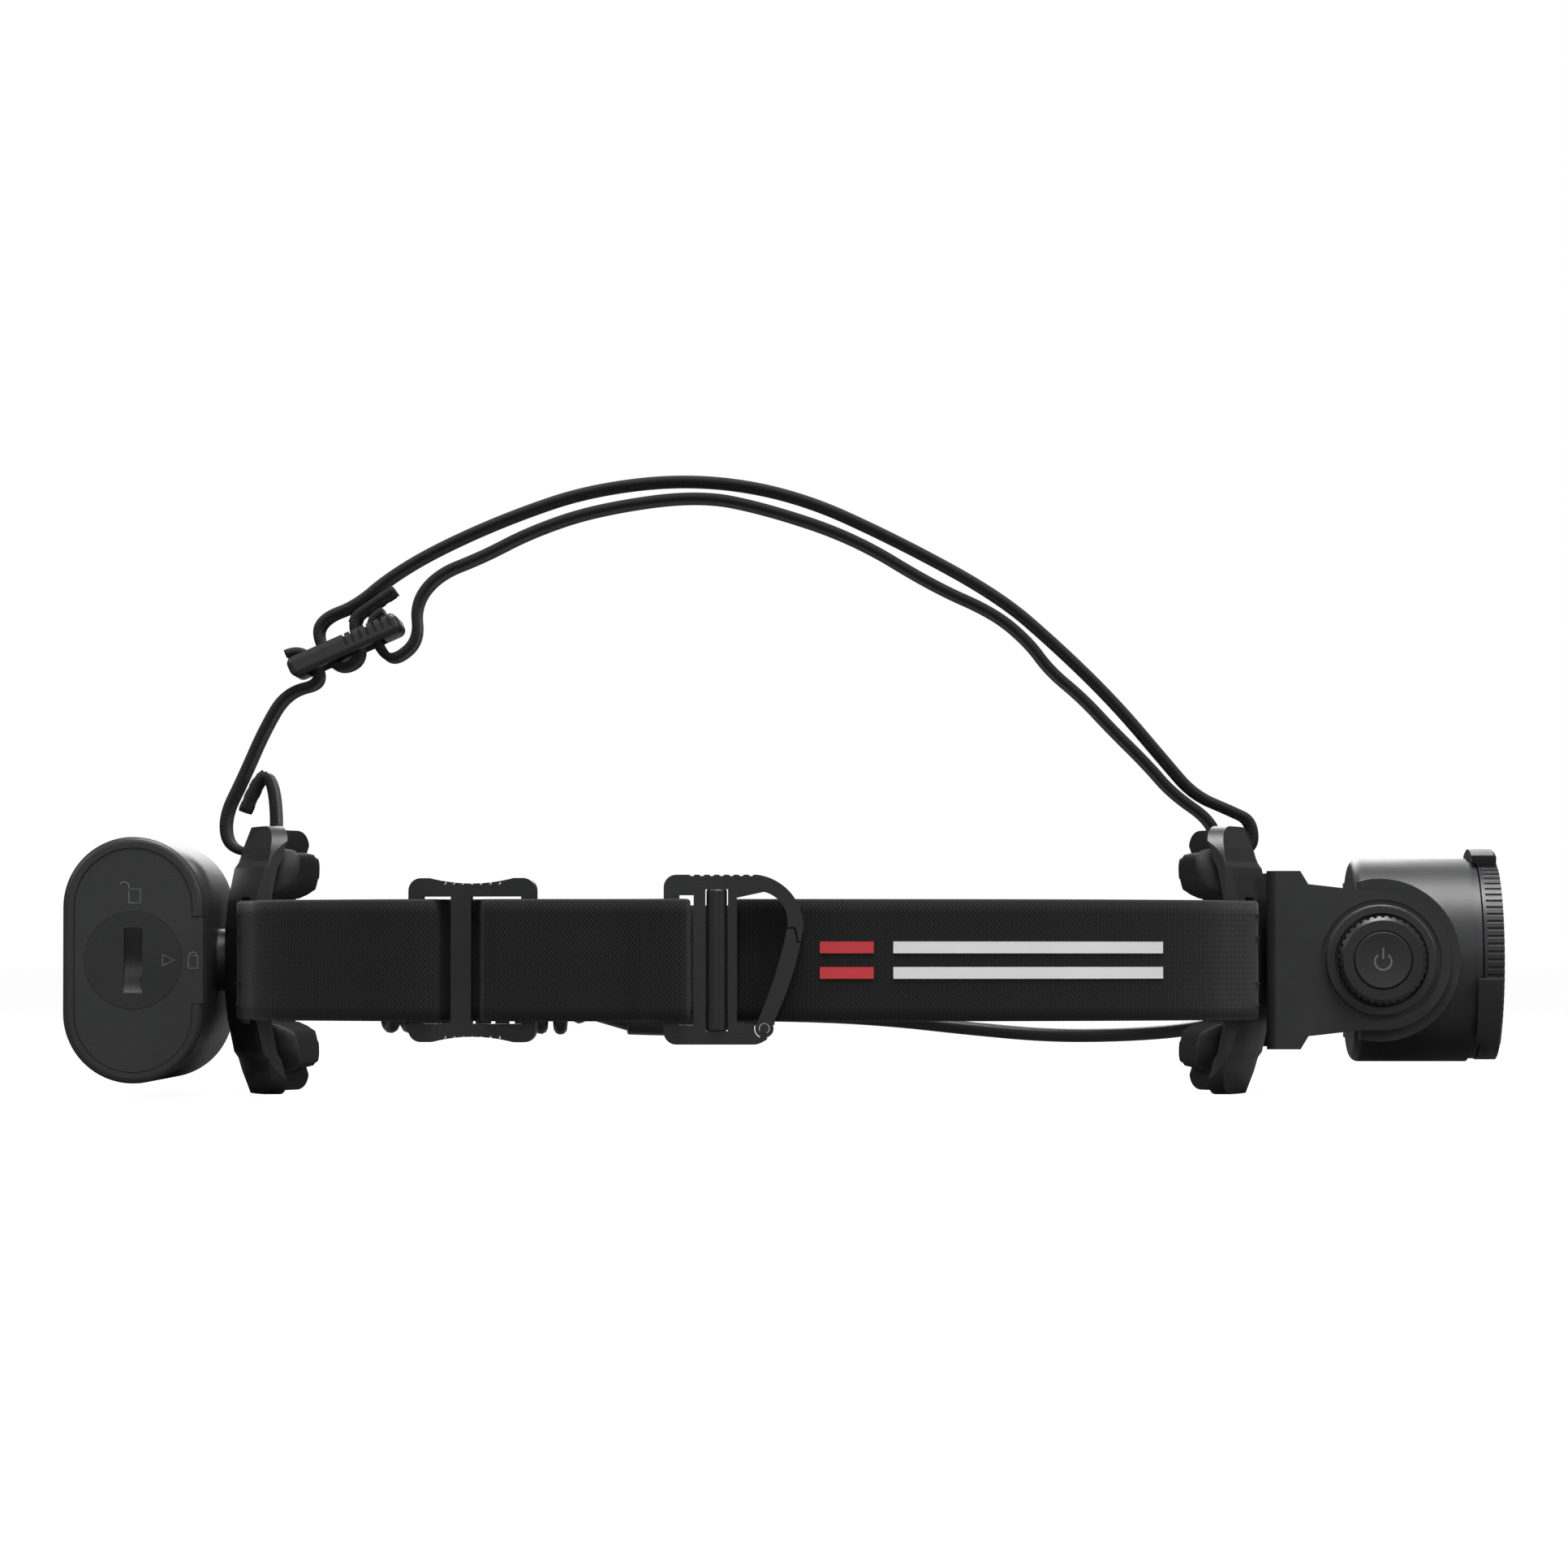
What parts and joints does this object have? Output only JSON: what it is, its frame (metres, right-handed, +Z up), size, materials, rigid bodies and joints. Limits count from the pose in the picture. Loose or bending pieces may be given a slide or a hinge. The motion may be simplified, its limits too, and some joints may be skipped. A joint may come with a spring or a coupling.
{
  "type": "headlamp",
  "caption": "Headlamp with a tilting focusing lamp in front, a battery case behind, an adjustable headband, a strap over the head and a curly cable.",
  "frame": {"origin": "centre of the headband loop, half way up the band", "axes": "+X the way the lamp points, +Y the wearer's left, +Z up"},
  "size_m": [0.3043, 0.1726, 0.1326],
  "materials": {
    "shell_plastic": "fine satin moulding",
    "trim_plastic": "satin moulding, slightly worn on ribs",
    "button_rubber": "soft matte",
    "pad_foam": "soft skin over foam",
    "webbing": "woven",
    "cable_sheath": "satin",
    "clear_lens": "clear polished",
    "sink_metal": "turned and anodised",
    "spring_steel": "nickel plated",
    "circuit": "solder mask",
    "led": "phosphor dome",
    "cell_wrap": "shrink wrap"
  },
  "bodies": {
    "headband": {"bracket": "shell_plastic", "front_stud": "shell_plastic", "rear_stud": "shell_plastic", "front_plate": "shell_plastic", "rear_plate": "shell_plastic", "battery_case": "shell_plastic", "ladder_buckle": "trim_plastic", "hook_frame": "trim_plastic", "buckle_roller": "trim_plastic", "strap_slider": "trim_plastic", "connector_plug": "trim_plastic", "connector_socket": "trim_plastic", "cell_cradle": "trim_plastic", "lamp_gland": "button_rubber", "case_gland": "button_rubber", "front_pad": "pad_foam", "rear_pad": "pad_foam", "band_front": "webbing", "band_rear": "webbing", "band_far": "webbing", "top_strap": "webbing", "rear_strap": "webbing", "lead_front": "cable_sheath", "curly_lead": "cable_sheath", "lead_rear": "cable_sheath", "contact_springs": "spring_steel", "contact_plate": "spring_steel", "charge_board": "circuit", "cells": "cell_wrap"},
    "lamp": {"lamp_housing": "shell_plastic", "rear_cap": "shell_plastic", "heat_sink": "sink_metal", "driver_board": "circuit", "led_board": "circuit", "led_emitter": "led", "window_seal": "button_rubber", "front_window": "clear_lens", "front_bezel": "shell_plastic", "button_switch": "circuit", "button_spring": "spring_steel", "pivot_cap": "shell_plastic"},
    "focus": {"focus_ring": "trim_plastic"},
    "lens": {"collimator_lens": "clear_lens", "lens_carrier": "trim_plastic"},
    "dial": {"dimmer_dial": "trim_plastic"},
    "button": {"power_button": "button_rubber"},
    "door": {"battery_door": "trim_plastic", "door_seal": "button_rubber"},
    "lock": {"coin_lock": "trim_plastic", "lock_cam": "trim_plastic"},
    "gate": {"hook_gate": "trim_plastic"}
  },
  "joints": [
    {"name": "lamp_tilt", "type": "hinge", "parent": "headband", "child": "lamp", "pos_m": [0.1341, 0, 0], "axis": [0, 1, 0], "range_deg": [0, 45]},
    {"name": "focus_turn", "type": "hinge", "parent": "lamp", "child": "focus", "pos_m": [0.158, 0, 0], "axis": [1, 0, 0], "range_deg": [0, 90]},
    {"name": "lens_slide", "type": "slide", "parent": "lamp", "child": "lens", "axis": [1, 0, 0], "range_m": [0, 0.0045]},
    {"name": "dial_turn", "type": "hinge", "parent": "lamp", "child": "dial", "pos_m": [0.1341, -0.028, 0], "axis": [0, 1, 0], "range_deg": [-120, 120]},
    {"name": "button_press", "type": "slide", "parent": "lamp", "child": "button", "axis": [0, 1, 0], "range_m": [0, 0.0008], "stiffness_N_per_m": 600},
    {"name": "door_pull", "type": "slide", "parent": "headband", "child": "door", "axis": [0, -1, 0], "range_m": [0, 0.025]},
    {"name": "lock_turn", "type": "hinge", "parent": "door", "child": "lock", "pos_m": [-0.1288, -0.038, 0], "axis": [0, 1, 0], "range_deg": [-90, 0]},
    {"name": "hook_flex", "type": "hinge", "parent": "headband", "child": "gate", "pos_m": [0.0037, -0.0782, -0.0139], "axis": [0, -1, 0], "range_deg": [0, 12], "stiffness_Nm_per_rad": 0.02}
  ],
  "couplings": [
    {"joint": "focus_turn", "follows": "lens_slide", "rad_per_m": 349}
  ]
}
